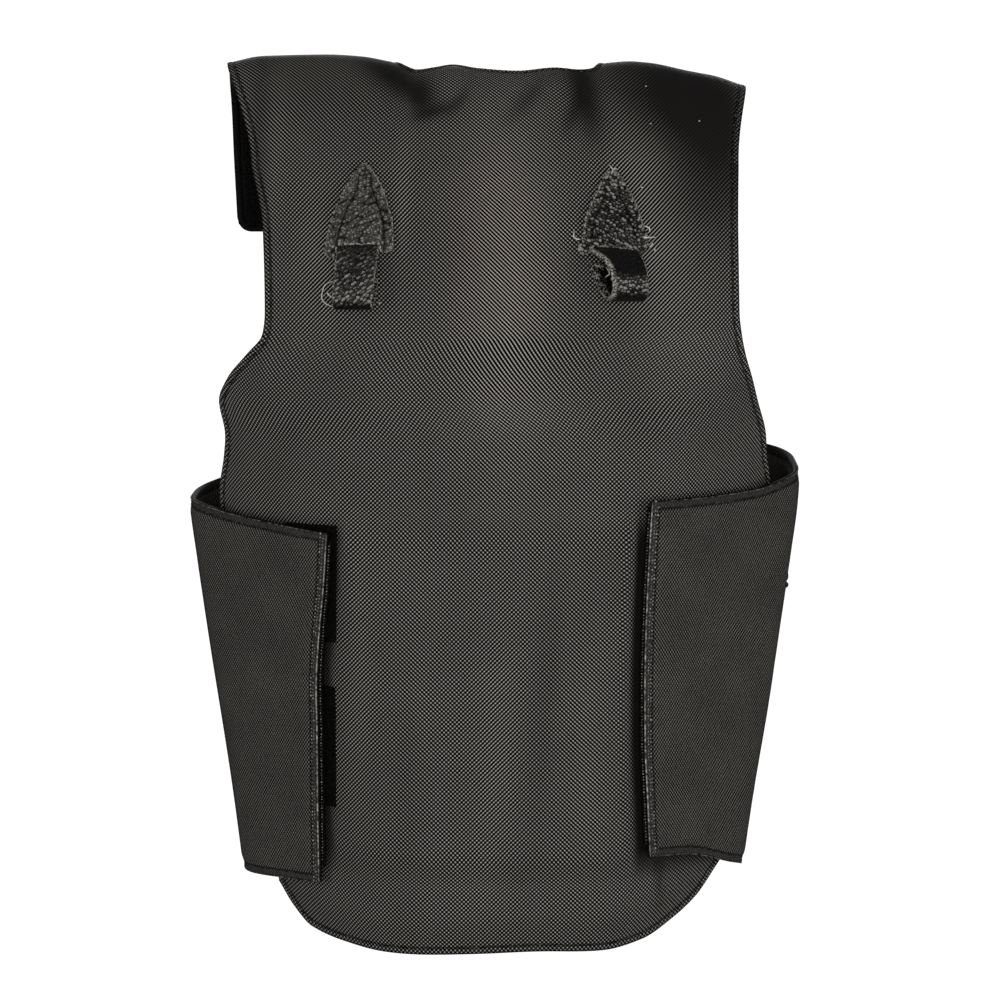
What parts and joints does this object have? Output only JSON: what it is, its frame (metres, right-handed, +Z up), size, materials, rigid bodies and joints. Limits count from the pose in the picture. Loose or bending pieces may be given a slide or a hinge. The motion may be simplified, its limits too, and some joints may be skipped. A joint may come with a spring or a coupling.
{
  "type": "bull riding vest",
  "caption": "Black padded riding vest in its worn form, open for body, neck and arms, with side wings closed over the back and leather loop tabs on the shoulder blades.",
  "frame": {"origin": "where the shoulders carry the vest: midway between the two shoulder straps, level with their undersides", "axes": "+Z up along the back's length, +Y from the back towards the wearer's front, +X to the wearer's right"},
  "size_m": [0.3909, 0.2234, 0.5556],
  "materials": {
    "ballistic_nylon": "black basket weave nylon, slightly shiny",
    "wing_cloth": "brownish black fine twill cloth, matt",
    "hook_tape": "black hook tape",
    "loop_tape": "black fuzzy loop tape",
    "pebbled_leather": "black pebbled leather with raw cut edges"
  },
  "bodies": {
    "root": {"back_panel": "ballistic_nylon", "front_panel": "ballistic_nylon", "wing_left": "wing_cloth", "wing_right": "wing_cloth", "hook_tape_left": "hook_tape", "hook_tape_right": "hook_tape", "loop_patch_left_upper": "loop_tape", "loop_patch_left_lower": "loop_tape", "loop_patch_right_upper": "loop_tape", "loop_patch_right_lower": "loop_tape", "shoulder_hook_left": "hook_tape", "shoulder_hook_right": "hook_tape", "leather_patch_left": "pebbled_leather", "leather_patch_right": "pebbled_leather", "leather_loop_left": "pebbled_leather", "leather_loop_right": "pebbled_leather"}
  },
  "joints": []
}
